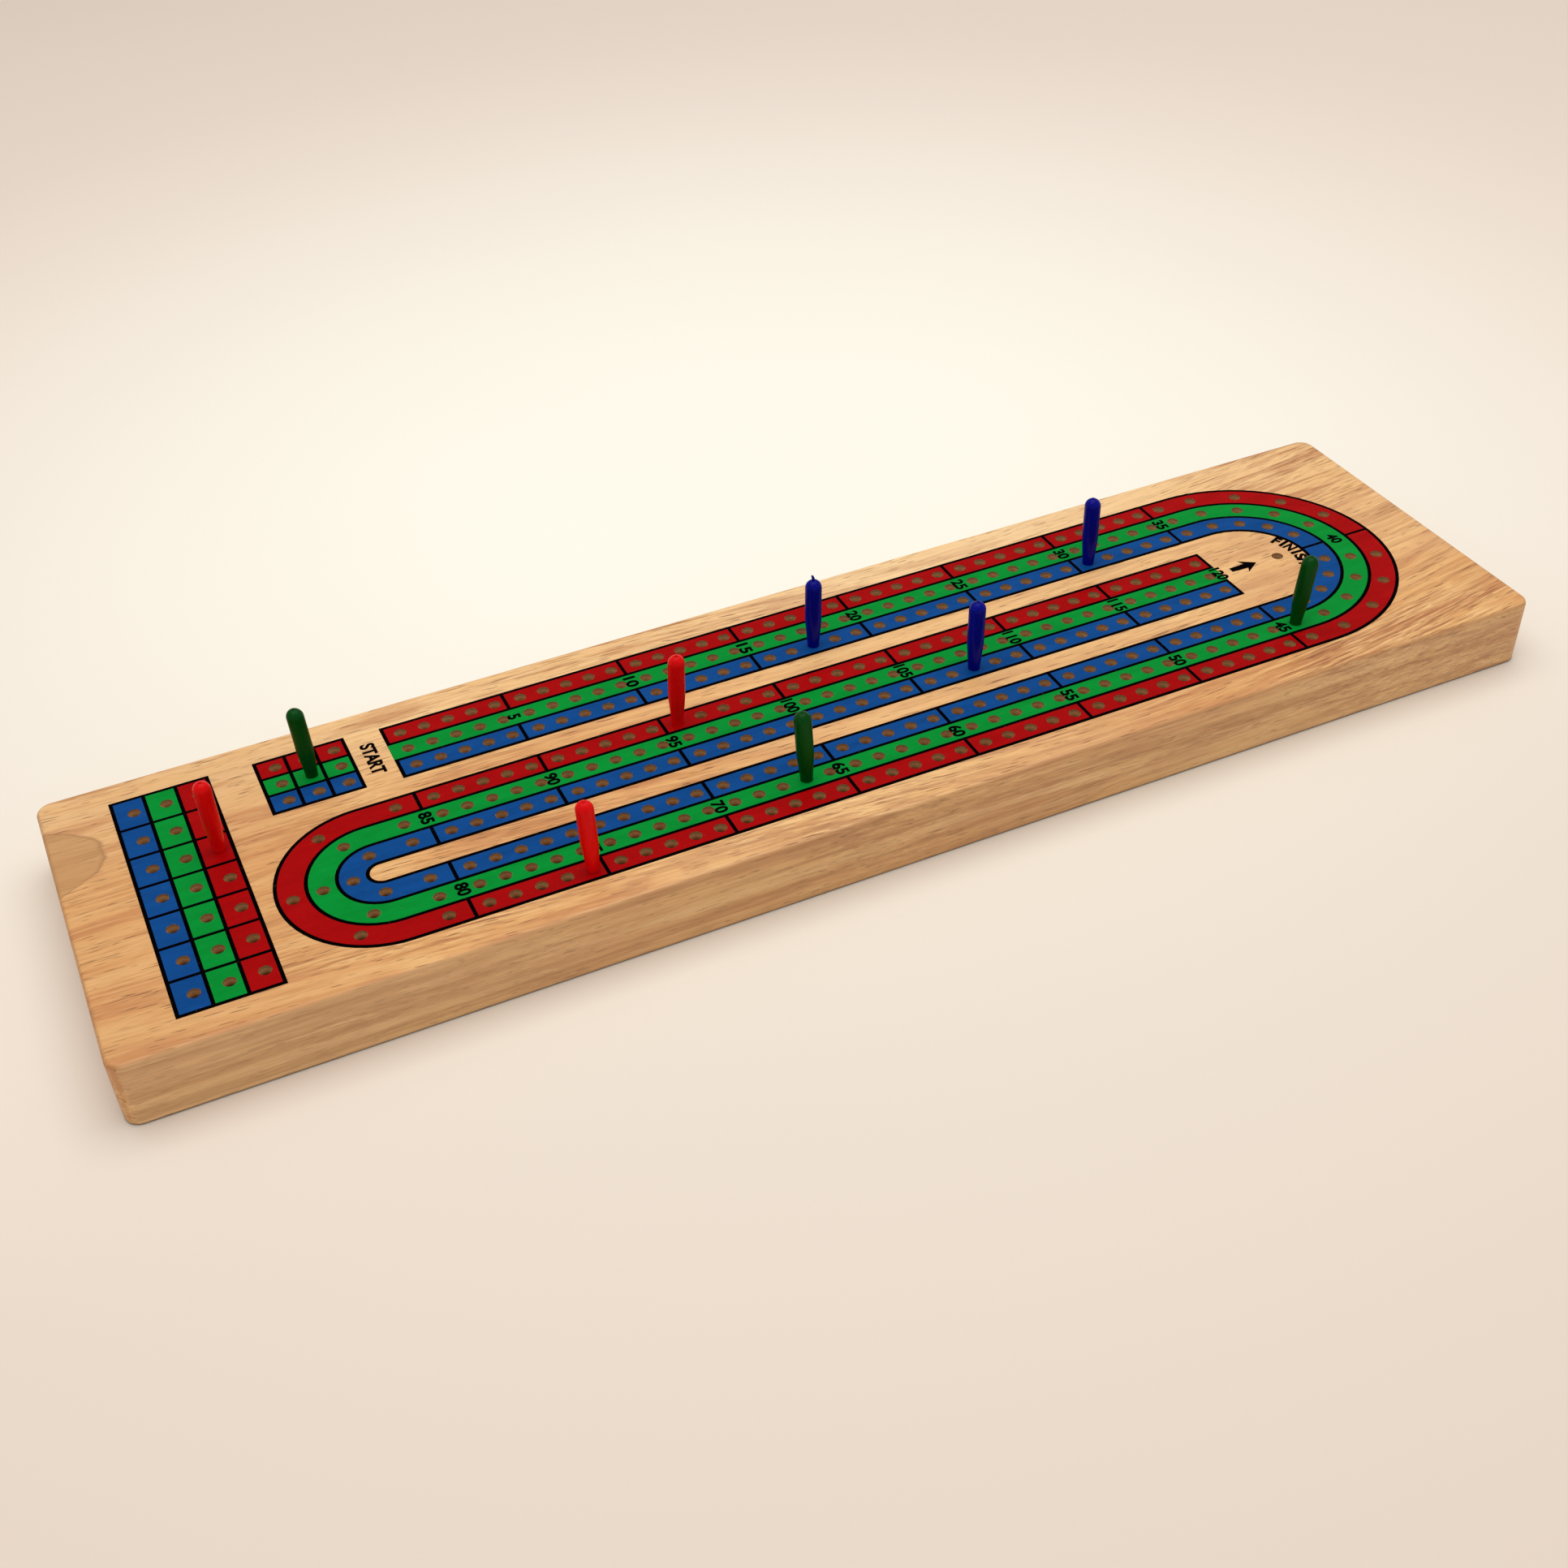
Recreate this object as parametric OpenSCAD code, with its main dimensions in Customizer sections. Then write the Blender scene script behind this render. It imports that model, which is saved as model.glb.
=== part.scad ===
// Three-lane cribbage board: a solid wooden board with a continuous printed track of
// 120 holes a lane, nine plastic pegs, and a peg store under a sliding metal cover.
// Millimetres. Origin: centre of the underside. +X runs to the finish end, +Y to the
// back edge, where play starts, and +Z is up.

/* [Board] */
// Length of the board
board_l = 377.6; // [374:0.2:420]
// Width of the board
board_w = 99.4; // [96:0.2:130]
// Thickness of the board
board_t = 18.5; // [17.5:0.5:25]
// Radius of the four upright corners
corner_r = 4; // [3:0.5:7]
// Rounding of the long and short edges
edge_r = 1.2; // [0.5:0.1:2.5]

/* [Track] */
// Distance between neighbouring lanes
lane_pitch = 7.2; // [6.8:0.1:7.4]
// Distance between holes in a group of five
hole_pitch = 6.35; // [6:0.05:6.5]
// Length of one group of five holes, divider to divider
group_pitch = 32.4; // [32:0.1:32.6]
// Start line, measured from the middle of the board
start_x = -102.6; // [-103:0.1:-102]
// From a divider to the first hole after it
first_hole = 4.1; // [3.5:0.1:4.2]
// From the last divider to the centre of the right-hand turn
turn_gap = 9.2; // [8.8:0.1:9.6]
// From the first divider to the centre of the left-hand turn
loop_gap = 15; // [14.5:0.1:15.2]
// From the first divider back to the first hole before it
loop_hole = 5.6; // [5.2:0.1:6]
// From the last divider to the winning hole
finish_gap = 19.1; // [18:0.1:20]

/* [Holes] */
// Diameter of every peg hole
hole_d = 3.175; // [3.15:0.005:3.2]
// Depth of every peg hole
hole_depth = 8.5; // [8:0.1:9]

/* [Print] */
// Thickness of the printed ink
ink_t = 0.08; // [0.05:0.01:0.2]
// Width of the black lines
line_w = 0.95; // [0.4:0.05:1.1]

/* [Score grids] */
// Width of one cell of the games grid
game_cell_w = 8; // [7.6:0.1:8.3]
// Height of one cell of the games grid
game_cell_h = 11.6; // [11:0.1:12]
// Centre of the games grid along the board
game_x = -159.4; // [-160:0.1:-158.5]
// Centre of the games grid across the board
game_y = 0.3; // [-1:0.1:1]
// Width of one cell of the starting grid
start_cell_w = 7.6; // [7.2:0.1:7.8]
// Centre of the starting grid along the board
start_grid_x = -124.1; // [-124.5:0.1:-123.8]
// Centre of the starting grid across the board
start_grid_y = 29.5; // [28.5:0.1:30]
// How far the grid holes sit to the right of their cells' centres
grid_shift = 0.8; // [0:0.1:0.9]

/* [Pegs] */
// Height of a peg above the board
peg_h = 20.3; // [18:0.1:24]
// Diameter of a peg's upper part
peg_d = 4.4; // [4:0.1:4.8]
// Diameter of the shank inside the hole
shank_d = 3.04; // [2.99:0.01:3.09]
// Length of the shank inside the hole
shank_l = 8; // [6:0.1:8.4]
// Height of the tapered part above the board
taper_h = 8; // [5:0.5:10]
// Diameter of the moulding gate's stub on top of a peg
gate_d = 1.1; // [0.6:0.1:1.4]

/* [Peg store] */
// Length of the store in the underside
store_l = 62; // [58:1:64]
// Width of the store, and of the channel that the cover runs in
store_w = 24; // [20:1:26]
// Depth of the store from the underside
store_depth = 8.2; // [7.8:0.1:8.5]
// Corner radius of the store
store_r = 4; // [3:0.5:6]
// Thickness of the wooden lip under the cover's groove
lip_t = 1.6; // [1.4:0.1:2]
// Height of the cover's groove
groove_h = 1.1; // [1.1:0.05:1.3]
// Depth of the groove into each side wall
groove_w = 2; // [1.5:0.1:3]
// Thickness of the metal cover
cover_t = 0.8; // [0.6:0.1:0.9]
// How far the cover reaches past each end of the store
cover_lap = 2; // [1.5:0.5:3]
// Diameter of the finger hole in the cover
finger_d = 9; // [6:0.5:12]

/* [Hidden] */
$fn = 64;

wood_colour = [0.85, 0.66, 0.42];
red_ink = [0.70, 0.07, 0.09];
green_ink = [0.05, 0.60, 0.24];
blue_ink = [0.13, 0.33, 0.66];
black_ink = [0.06, 0.05, 0.06];
red_plastic = [0.86, 0.04, 0.05];
green_plastic = [0.02, 0.30, 0.09];
blue_plastic = [0.03, 0.05, 0.45];
steel_colour = [0.76, 0.77, 0.78];

// Lanes, counted from the outside of the turns
RED = 0;
GREEN = 1;
BLUE = 2;
group_size = 5;
groups = 7;
straight_holes = group_size * groups;
lap_holes = 3 * straight_holes + 15;
lane_fill = lane_pitch - line_w;
last_x = start_x + groups * group_pitch;
turn_x = last_x + turn_gap;
loop_x = start_x - loop_gap;
loop_y = -2 * lane_pitch;
finish_x = last_x + finish_gap;

// The right-hand turn has four evenly spaced holes in each half
turn_holes = 4;
turn_first_angle = 8.5;
turn_step_angle = 20.8;
// The left-hand turn has three, whose outer two lie at these angles from the upright
loop_angles = [29.5, 24.5, 11];

game_rows = 7;
game_cols = 3;
game_w = game_cols * game_cell_w;
game_h = game_rows * game_cell_h;
game_columns = [BLUE, GREEN, RED];
start_cells = 3;

slack = 1;                                  // how far a cutter reaches past a face
cover_play = 0.15;                          // play between the cover and its groove
cover_l = store_l + 2 * cover_lap;
cover_w = store_w + 2 * (groove_w - cover_play);
cover_travel = cover_l;
channel_l = 2 * cover_l + 2 * cover_play;
store_x = -cover_l / 2;
cover_z = lip_t + cover_play;
cover_corner_r = 2;
channel_r = 2;                              // corner radius left by the cutter

// ---- where the holes are ----

// Distance of row number row (0 at the back, 10 at the front) from the middle
function row_y(row) = (5 - row) * lane_pitch;

// Hole n of a straight, 1 to 35, counted from the start line
function straight_x(n) =
    start_x + first_hole + group_pitch * floor((n - 1) / group_size)
    + hole_pitch * ((n - 1) % group_size);

// Hole n of the right-hand turn's back half, 1 to 4, on a lane's own radius
function turn_hole(lane, n) =
    let (a = turn_first_angle + turn_step_angle * (n - 1), r = row_y(lane))
    [turn_x + r * sin(a), r * cos(a)];

// Radius of a lane in the left-hand turn
function loop_r(lane) = (3 - lane) * lane_pitch;

// Hole n of the left-hand turn, side -1 at the front, 1 at the back, 0 at the far left
function loop_hole_at(lane, side) =
    let (a = side == 0 ? 90 : loop_angles[lane])
    [loop_x - loop_r(lane) * sin(a), loop_y + side * loop_r(lane) * cos(a)];

function flip(p) = [p[0], -p[1]];

// Place of hole n of a lane, 1 to 120, in the order of play
function track_hole(lane, n) =
    n <= 35 ? [straight_x(n), row_y(lane)] :
    n == 36 ? [last_x + first_hole, row_y(lane)] :
    n <= 40 ? turn_hole(lane, n - 36) :
    n <= 44 ? flip(turn_hole(lane, 45 - n)) :
    n == 45 ? [last_x + first_hole, -row_y(lane)] :
    n <= 80 ? [straight_x(81 - n), -row_y(lane)] :
    n == 81 ? [start_x - loop_hole, -row_y(lane)] :
    n <= 84 ? loop_hole_at(lane, n - 83) :
    n == 85 ? [start_x - loop_hole, row_y(lane + 4)] :
    [straight_x(n - 85), row_y(lane + 4)];

function game_hole(column, row) = [
    game_x + (column - 1) * game_cell_w + grid_shift,
    game_y + ((game_rows - 1) / 2 - row) * game_cell_h
];

function start_row_y(lane) = start_grid_y + (1 - lane) * lane_pitch;

function start_hole(lane, column) =
    [start_grid_x + (column - 1) * start_cell_w + grid_shift, start_row_y(lane)];

// Every hole of one colour
function lane_holes(lane) = concat(
    [for (n = [1:lap_holes]) track_hole(lane, n)],
    [for (row = [0:game_rows - 1]) game_hole(2 - lane, row)],
    [for (column = [0:start_cells - 1]) start_hole(lane, column)]
);

// ---- outlines in the plane of the board ----

module rounded_rectangle(l, w, r) {
    square([l - 2 * r, w], center = true);
    square([l, w - 2 * r], center = true);
    for (x = [-1, 1], y = [-1, 1])
        translate([x * (l / 2 - r), y * (w / 2 - r)])
            circle(r);
}

// Half of a flat ring; side 1 is the half towards +X, -1 the half towards -X
module half_ring(r, w, side) {
    difference() {
        circle(r + w / 2);
        circle(r - w / 2);
        translate([side > 0 ? -2 * r - w : 0, -2 * r - w])
            square([2 * r + w, 4 * r + 2 * w]);
    }
}

module bar(x0, x1, y, w) {
    translate([x0, y - w / 2])
        square([x1 - x0, w]);
}

// A strip of width w along the whole course; lane may be a half, for the lines between
module course(lane, w) {
    bar(start_x - line_w / 2, turn_x, row_y(lane), w);
    translate([turn_x, 0])
        half_ring(row_y(lane), w, 1);
    bar(loop_x, turn_x, -row_y(lane), w);
    translate([loop_x, loop_y])
        half_ring(loop_r(lane), w, -1);
    bar(loop_x, last_x + line_w / 2, row_y(lane + 4), w);
}

// The lines across the red and the blue lane, at the ends and between groups of five
module dividers() {
    for (lane = [RED, BLUE]) {
        for (i = [0:groups], y = [row_y(lane), row_y(lane + 4), -row_y(lane)])
            translate([start_x + i * group_pitch, y])
                square([line_w, lane_pitch], center = true);
        translate([turn_x + row_y(lane), 0])
            square([lane_pitch, line_w], center = true);
    }
}

module grid_lines(x, y, cell_w, cell_h, columns, rows) {
    w = columns * cell_w;
    h = rows * cell_h;
    for (i = [0:columns])
        translate([x - w / 2 + i * cell_w, y])
            square([line_w, h + line_w], center = true);
    for (i = [0:rows])
        translate([x, y - h / 2 + i * cell_h])
            square([w + line_w, line_w], center = true);
}

module lane_outline(lane) {
    difference() {
        course(lane, lane_fill);
        if (lane != GREEN)
            dividers();
    }
    for (row = [0:game_rows - 1])
        translate([game_x + (1 - lane) * game_cell_w, game_hole(0, row)[1]])
            square([game_cell_w - line_w, game_cell_h - line_w], center = true);
    for (column = [-1:1])
        translate([start_grid_x + column * start_cell_w, start_row_y(lane)])
            square([start_cell_w - line_w, lane_fill], center = true);
}

// ---- the pieces ----

// The board with every edge rounded and the corners rounded in plan
module board_blank() {
    inner_l = board_l / 2 - corner_r;
    inner_w = board_w / 2 - corner_r;
    translate([0, 0, board_t / 2]) {
        rotate([90, 0, 90])
            linear_extrude(2 * inner_l, center = true)
                rounded_rectangle(board_w, board_t, edge_r);
        rotate([90, 0, 0])
            linear_extrude(2 * inner_w, center = true)
                rounded_rectangle(board_l, board_t, edge_r);
        for (x = [-1, 1], y = [-1, 1])
            translate([x * inner_l, y * inner_w, 0])
                rotate_extrude()
                    intersection() {
                        rounded_rectangle(2 * corner_r, board_t, edge_r);
                        translate([0, -board_t])
                            square([2 * corner_r, 2 * board_t]);
                    }
    }
}

module peg_hole(p) {
    translate([p[0], p[1], board_t - hole_depth])
        cylinder(d = hole_d, h = hole_depth + slack);
}

// The hollow for nine pegs, the open channel and the groove that holds the cover
module store_cut() {
    translate([store_x, 0, -slack])
        linear_extrude(store_depth + slack)
            rounded_rectangle(store_l, store_w, store_r);
    translate([0, 0, -slack])
        linear_extrude(lip_t + groove_h + slack)
            rounded_rectangle(channel_l, store_w, channel_r);
    translate([0, 0, lip_t])
        linear_extrude(groove_h)
            rounded_rectangle(channel_l, store_w + 2 * groove_w, channel_r);
}

module board() {
    color(wood_colour)
        difference() {
            board_blank();
            for (lane = [RED, GREEN, BLUE])
                for (p = lane_holes(lane))
                    peg_hole(p);
            peg_hole([finish_x, 0]);
            store_cut();
        }
}

module lane_print(lane, ink) {
    color(ink)
        translate([0, 0, board_t])
            linear_extrude(ink_t)
                difference() {
                    lane_outline(lane);
                    for (p = lane_holes(lane))
                        translate(p)
                            circle(d = hole_d);
                }
}

module red_print() {
    lane_print(RED, red_ink);
}

module green_print() {
    lane_print(GREEN, green_ink);
}

module blue_print() {
    lane_print(BLUE, blue_ink);
}

module black_print() {
    color(black_ink)
        translate([0, 0, board_t])
            linear_extrude(ink_t) {
                for (edge = [0:3])
                    course(edge - 0.5, line_w);
                dividers();
                grid_lines(game_x, game_y, game_cell_w, game_cell_h, game_cols, game_rows);
                grid_lines(start_grid_x, start_grid_y, start_cell_w, lane_pitch,
                           start_cells, start_cells);
            }
}

// A thin steel plate that slides in the grooves and uncovers the store
module storage_cover() {
    color(steel_colour)
        difference() {
            translate([store_x, 0, cover_z])
                linear_extrude(cover_t)
                    rounded_rectangle(cover_l, cover_w, cover_corner_r);
            translate([store_x - store_l / 2 + finger_d, 0, cover_z - slack])
                cylinder(d = finger_d, h = cover_t + 2 * slack);
        }
}

// A peg: shank, taper, straight body, round top and the stub of the moulding gate
module peg(p, plastic, gate_h = 0.4) {
    tip_h = 0.8;
    color(plastic)
        translate([p[0], p[1], board_t]) {
            translate([0, 0, -shank_l])
                cylinder(d1 = shank_d - 2 * tip_h / 3, d2 = shank_d, h = tip_h);
            translate([0, 0, tip_h - shank_l])
                cylinder(d = shank_d, h = shank_l - tip_h);
            cylinder(d1 = shank_d, d2 = peg_d, h = taper_h);
            translate([0, 0, taper_h])
                cylinder(d = peg_d, h = peg_h - taper_h - peg_d / 2);
            translate([0, 0, peg_h - peg_d / 2])
                sphere(d = peg_d);
            translate([0, 0, peg_h - peg_d / 4])
                cylinder(d = gate_d, h = peg_d / 4 + gate_h);
        }
}

module red_lead_peg() {
    peg(track_hole(RED, 96), red_plastic);
}

module red_trail_peg() {
    peg(track_hole(RED, 76), red_plastic);
}

module red_games_peg() {
    peg(game_hole(2, 2), red_plastic);
}

module green_lead_peg() {
    peg(track_hole(GREEN, 67), green_plastic);
}

module green_trail_peg() {
    peg(track_hole(GREEN, 45), green_plastic);
}

module green_start_peg() {
    peg(start_hole(GREEN, 1), green_plastic);
}

module blue_lead_peg() {
    peg(track_hole(BLUE, 108), blue_plastic);
}

module blue_trail_peg() {
    peg(track_hole(BLUE, 31), blue_plastic);
}

// This one still carries a longer tail of moulding flash on its gate
module blue_third_peg() {
    peg(track_hole(BLUE, 18), blue_plastic, 1.6);
}

board();
red_print();
green_print();
blue_print();
black_print();
storage_cover();
red_lead_peg();
red_trail_peg();
red_games_peg();
green_lead_peg();
green_trail_peg();
green_start_peg();
blue_lead_peg();
blue_trail_peg();
blue_third_peg();
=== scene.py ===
"""Three-lane cribbage board: wood, screen-printed ink, moulded pegs, steel cover and a plain studio.

Metres, in the frame's own axes: X along the board, Y to its back edge, Z up.
"""

import math
import random

import bmesh
import bpy
from mathutils import Euler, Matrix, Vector, noise
from mathutils.geometry import delaunay_2d_cdt, intersect_point_tri_2d


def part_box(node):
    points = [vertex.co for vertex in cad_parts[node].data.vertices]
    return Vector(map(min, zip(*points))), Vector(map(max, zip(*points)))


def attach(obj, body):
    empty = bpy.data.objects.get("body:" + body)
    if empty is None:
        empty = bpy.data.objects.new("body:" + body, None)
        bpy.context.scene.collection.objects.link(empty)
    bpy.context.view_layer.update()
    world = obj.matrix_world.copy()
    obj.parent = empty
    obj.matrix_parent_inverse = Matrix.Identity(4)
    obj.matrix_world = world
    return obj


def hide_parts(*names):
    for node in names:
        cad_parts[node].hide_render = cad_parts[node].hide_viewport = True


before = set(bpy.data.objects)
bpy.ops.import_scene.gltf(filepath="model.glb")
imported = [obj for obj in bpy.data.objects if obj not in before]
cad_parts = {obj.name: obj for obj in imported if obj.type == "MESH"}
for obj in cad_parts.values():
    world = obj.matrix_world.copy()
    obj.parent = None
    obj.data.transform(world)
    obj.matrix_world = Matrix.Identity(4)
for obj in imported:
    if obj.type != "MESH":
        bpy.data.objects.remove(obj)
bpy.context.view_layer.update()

MM = 0.001
# The output kind of delaunay_2d_cdt that leaves out all that lies beyond the outer outline
INSIDE_ONLY = 1

# The board's own sizes that a bounding box can't tell
EDGE_R = 1.2 * MM
LOW_EDGE_R = 0.5 * MM
CORNER_R = 4 * MM
HOLE_R = 1.5875 * MM
HOLE_DEPTH = 8.5 * MM
INK_T = 0.08 * MM
LANE_PITCH = 7.2 * MM
GROUP_PITCH = 32.4 * MM
GROUPS = 7
PER_GROUP = 5
TURN_GAP = 9.2 * MM
# From the board's middle line to the green lane, and to the outline of the outer lane
GREEN_LANE = 4 * LANE_PITCH
OUTER_LINE = 5.5 * LANE_PITCH
# The board's materials, by their place in its list
LACQUERED, DRILLED, MILLED = range(3)

board_low, board_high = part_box("board")
board_top = board_high.z
_, black_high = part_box("black_print")
_, green_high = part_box("green_print")


# ---------------------------------------------------------------- node helpers

def srgb(red, green, blue):
    """A colour given as 0 to 255 sRGB, in the linear values that shaders use."""
    def linear(value):
        value /= 255
        return value / 12.92 if value <= 0.04045 else ((value + 0.055) / 1.055) ** 2.4
    return (linear(red), linear(green), linear(blue), 1.0)


class Shader:
    """A material's node tree around one Principled BSDF."""

    def __init__(self, name):
        self.material = bpy.data.materials.new(name)
        self.material.use_nodes = True
        self.nodes = self.material.node_tree.nodes
        self.links = self.material.node_tree.links
        self.nodes.clear()
        self.bsdf = self.nodes.new("ShaderNodeBsdfPrincipled")
        output = self.nodes.new("ShaderNodeOutputMaterial")
        self.links.new(self.bsdf.outputs["BSDF"], output.inputs["Surface"])

    def axes(self, vector):
        """The X, Y and Z of a vector."""
        return self.add("SeparateXYZ", {"Vector": vector}).outputs

    def put(self, socket, value):
        if isinstance(value, bpy.types.NodeSocket):
            self.links.new(value, socket)
        else:
            socket.default_value = value

    def set(self, **values):
        for name, value in values.items():
            self.put(self.bsdf.inputs[name.replace("_", " ")], value)

    def add(self, kind, inputs=(), **properties):
        node = self.nodes.new("ShaderNode" + kind)
        for name, value in properties.items():
            setattr(node, name, value)
        for socket, value in dict(inputs).items():
            self.put(node.inputs[socket], value)
        return node

    def position(self):
        """The point in the piece's own frame, which at rest is the shared one, in millimetres."""
        coordinates = self.add("TexCoord").outputs["Object"]
        scaled = self.add("VectorMath", {0: coordinates, "Scale": 1 / MM}, operation="SCALE")
        return scaled.outputs["Vector"]

    def stretch(self, vector, factors, offset=(0, 0, 0)):
        """The vector times the factors, plus the offset, to feed noise of another size and another place."""
        scaled = self.add("VectorMath", {0: vector, 1: factors, 2: offset}, operation="MULTIPLY_ADD")
        return scaled.outputs["Vector"]

    def noise(self, vector, detail=2.0, roughness=0.5):
        values = {"Vector": vector, "Scale": 1.0, "Detail": detail, "Roughness": roughness}
        return self.add("TexNoise", values).outputs["Fac"]

    def math(self, operation, first, second=0.0, third=0.0, clamp=False):
        values = {0: first, 1: second, 2: third}
        return self.add("Math", values, operation=operation, use_clamp=clamp).outputs[0]

    def fit(self, value, low, high, to_low=0.0, to_high=1.0, smooth=False):
        """The value moved from the range low..high to to_low..to_high, held at its ends."""
        values = {0: value, 1: low, 2: high, 3: to_low, 4: to_high}
        kind = "SMOOTHSTEP" if smooth else "LINEAR"
        return self.add("MapRange", values, interpolation_type=kind).outputs[0]

    def mix(self, factor, first, second):
        """A colour mix. The node's float and vector sockets come before those of its colours."""
        node = self.add("Mix", {0: factor, 6: first, 7: second}, data_type="RGBA")
        return node.outputs[2]

    def ramp(self, factor, stops):
        node = self.add("ValToRGB", {"Fac": factor})
        elements = node.color_ramp.elements
        while len(elements) < len(stops):
            elements.new(0.5)
        for element, (place, colour) in zip(elements, stops):
            element.position = place
            element.color = colour
        return node.outputs["Color"]

    def bump(self, height, distance, strength, below=None):
        values = {"Height": height, "Distance": distance, "Strength": strength}
        if below is not None:
            values["Normal"] = below
        return self.add("Bump", values).outputs["Normal"]


# ---------------------------------------------------------------- materials

def grain_space(shader, point):
    """The point moved so that straight lines along X become the board's gently wandering grain."""
    most_drift = 12
    drift_up = 0.6
    slope = 0.03
    swing_from = 40
    swing_rate = -0.0007
    wander = shader.noise(shader.stretch(point, (0.005, 0.012, 0.012)), detail=1)
    drift = shader.math("MULTIPLY_ADD", wander, 2 * most_drift, -most_drift)
    along, across, up = shader.axes(point)
    beyond = shader.math("MAXIMUM", shader.math("SUBTRACT", along, swing_from), 0.0)
    swing = shader.math("MULTIPLY", shader.math("POWER", beyond, 2), swing_rate)
    lean = shader.math("MULTIPLY_ADD", along, slope, swing)
    across = shader.math("ADD", shader.math("ADD", across, lean), drift)
    up = shader.math("MULTIPLY_ADD", drift, drift_up, up)
    joined = shader.add("CombineXYZ", {"X": along, "Y": across, "Z": up})
    return joined.outputs["Vector"]


def growth_bands(shader, grain):
    """Irregular growth rings around a pith that lies below the board, towards the front."""
    pith_forward = 35
    pith_depth = 58
    ring_wobble = 7
    rings_per_mm = 0.3
    _, across, up = shader.axes(grain)
    ripple = shader.noise(shader.stretch(grain, (0.02, 0.08, 0.08), (7, 3, 5)))
    side = shader.math("ADD", across, pith_forward)
    height = shader.math("ADD", up, pith_depth)
    square = shader.math("ADD", shader.math("POWER", side, 2), shader.math("POWER", height, 2))
    radius = shader.math("MULTIPLY_ADD", ripple, ring_wobble, shader.math("SQRT", square))
    values = {"W": radius, "Scale": rings_per_mm, "Detail": 4.0, "Roughness": 0.65}
    return shader.add("TexNoise", values, noise_dimensions="1D").outputs["Fac"]


def wood_grain(shader):
    """Colour, fibre and pore masks of straight-grained pale hardwood whose trunk lies along X."""
    point = shader.position()
    grain = grain_space(shader, point)
    along, across, _ = shader.axes(point)
    off_middle = shader.math("ABSOLUTE", across)
    bands = growth_bands(shader, grain)
    broad = shader.noise(shader.stretch(grain, (0.008, 0.06, 0.06), (3, 9, 1)))
    flame = shader.noise(shader.stretch(grain, (0.024, 0.17, 0.17), (5, 2, 8)), detail=3)
    streak = shader.noise(shader.stretch(grain, (0.03, 0.45, 0.45)), detail=4, roughness=0.65)
    line = shader.noise(shader.stretch(grain, (0.065, 1.25, 1.25), (1, 6, 2)), detail=3, roughness=0.6)
    fibre = shader.noise(shader.stretch(grain, (0.14, 4.2, 4.2)), roughness=0.6)

    # The fine figure comes and goes: it is faint at the left end and between the streets
    patches = shader.noise(shader.stretch(grain, (0.013, 0.07, 0.07), (4, 1, 9)), detail=1)
    busy = shader.fit(patches, 0.40, 0.60, 0.55, 1.45)
    for limit in (shader.fit(along, -170, -130, 0.66, 1), shader.fit(off_middle, 16, 34, 0.75, 1),
                  shader.fit(across, -34, -41, 1, 1.3)):
        busy = shader.math("MULTIPLY", busy, limit)

    colour = shader.ramp(bands, [(0.30, srgb(203, 141, 80)), (0.45, srgb(221, 161, 95)),
                                 (0.58, srgb(229, 172, 105)), (0.70, srgb(208, 147, 85))])
    # Each row: a mask, where it starts and ends, how much it tints at most, and the tint
    wide_figure = ((broad, 0.50, 0.66, 0.5, srgb(203, 135, 81)),
                   (broad, 0.46, 0.34, 0.5, srgb(226, 177, 116)))
    for mask, low, high, most, shade in wide_figure:
        colour = shader.mix(shader.fit(mask, low, high, 0, most), colour, shade)
    # Painted sheen: the top grows paler towards the back edge, in place of the lacquer's grazing reflection
    # there
    colour = shader.mix(shader.fit(across, 4, 44, 0, 0.56, smooth=True), colour, srgb(255, 220, 164))
    flames = ((flame, 0.51, 0.62, 0.62, srgb(192, 124, 71)),
              (flame, 0.47, 0.37, 0.5, srgb(236, 188, 124)))
    for mask, low, high, most, shade in flames:
        colour = shader.mix(shader.fit(mask, low, high, 0, most), colour, shade)
    fine_figure = ((streak, 0.52, 0.66, 0.54, srgb(180, 116, 62)),
                   (streak, 0.47, 0.36, 0.5, srgb(238, 190, 126)),
                   (line, 0.53, 0.66, 0.54, srgb(164, 102, 52)),
                   (line, 0.46, 0.35, 0.5, srgb(242, 196, 133)),
                   (fibre, 0.50, 0.68, 0.38, srgb(160, 100, 50)))
    for mask, low, high, most, shade in fine_figure:
        amount = shader.math("MULTIPLY", shader.fit(mask, low, high, 0, most), busy, clamp=True)
        colour = shader.mix(amount, colour, shade)
    colour = tint_by_place(shader, point, colour, streak)

    pores = shader.noise(shader.stretch(grain, (0.16, 2.4, 2.4), (2, 4, 8)), detail=1, roughness=0.4)
    crowd = shader.fit(streak, 0.35, 0.65, -0.03, 0.035)
    pore = shader.fit(shader.math("ADD", pores, crowd), 0.665, 0.71)
    colour = shader.mix(shader.math("MULTIPLY", pore, 0.72), colour, srgb(128, 78, 40))
    return point, colour, fibre, pore


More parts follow.
